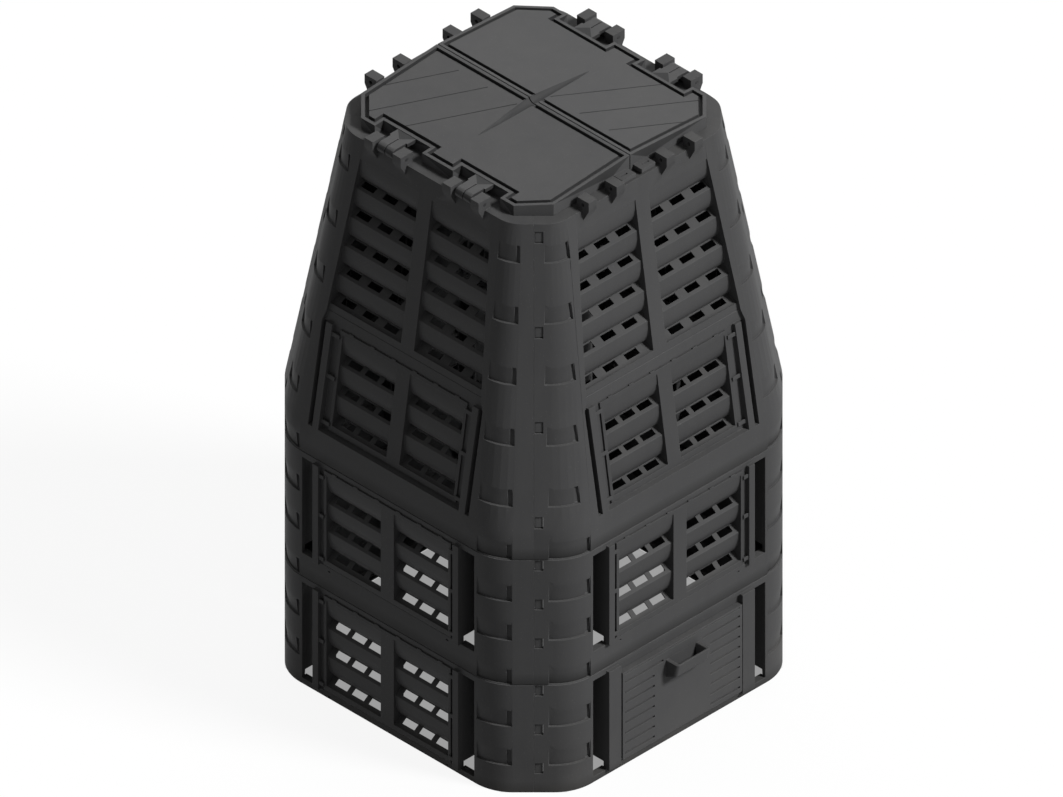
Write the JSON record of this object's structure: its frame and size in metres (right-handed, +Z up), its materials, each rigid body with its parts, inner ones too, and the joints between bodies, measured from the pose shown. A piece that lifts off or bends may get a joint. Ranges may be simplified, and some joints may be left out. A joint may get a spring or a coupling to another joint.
{
  "type": "compost bin with lid",
  "caption": "Modular garden compost bin of dark plastic with a tapered top ring, louvred vent inserts, a tilting harvest door and a hinged two-flap lid.",
  "frame": {"origin": "on the ground under the middle of the bin's bounding box, whose front is the door's pull cup", "axes": "+Z up, -Y towards the side with the harvest door, +X towards the right lid flap's hinge"},
  "size_m": [0.796, 0.829, 1.2749],
  "materials": {
    "wall": "matt moulded recycled plastic, charcoal",
    "vent": "matt moulded recycled plastic, charcoal",
    "door": "matt moulded recycled plastic, charcoal",
    "lid": "matt moulded recycled plastic, charcoal, a little faded",
    "pin": "smooth moulded plastic, near black"
  },
  "bodies": {
    "bin": {"wall_base_front": "wall", "wall_base_right": "wall", "wall_base_back": "wall", "wall_base_left": "wall", "wall_mid_front": "wall", "wall_mid_right": "wall", "wall_mid_back": "wall", "wall_mid_left": "wall", "wall_top_front": "wall", "wall_top_right": "wall", "wall_top_back": "wall", "wall_top_left": "wall", "vent_base_right": "vent", "vent_base_back": "vent", "vent_base_left": "vent", "vent_mid_front": "vent", "vent_mid_right": "vent", "vent_mid_back": "vent", "vent_mid_left": "vent", "vent_top_front": "vent", "vent_top_right": "vent", "vent_top_back": "vent", "vent_top_left": "vent", "hinge_pin_right_front": "pin", "hinge_pin_right_back": "pin", "hinge_pin_left_front": "pin", "hinge_pin_left_back": "pin"},
    "door": {"harvest_door": "door"},
    "flap_right": {"lid_flap_right": "lid"},
    "flap_left": {"lid_flap_left": "lid"}
  },
  "joints": [
    {"name": "door_tilt", "type": "hinge", "parent": "bin", "child": "door", "pos_m": [0, -0.376, 0.024], "axis": [1, 0, 0], "range_deg": [0, 80]},
    {"name": "flap_right_hinge", "type": "hinge", "parent": "bin", "child": "flap_right", "pos_m": [0.284, 0.0165, 1.248], "axis": [0, 1, 0], "range_deg": [0, 110]},
    {"name": "flap_left_hinge", "type": "hinge", "parent": "bin", "child": "flap_left", "pos_m": [-0.284, 0.0165, 1.248], "axis": [0, -1, 0], "range_deg": [0, 110]}
  ]
}
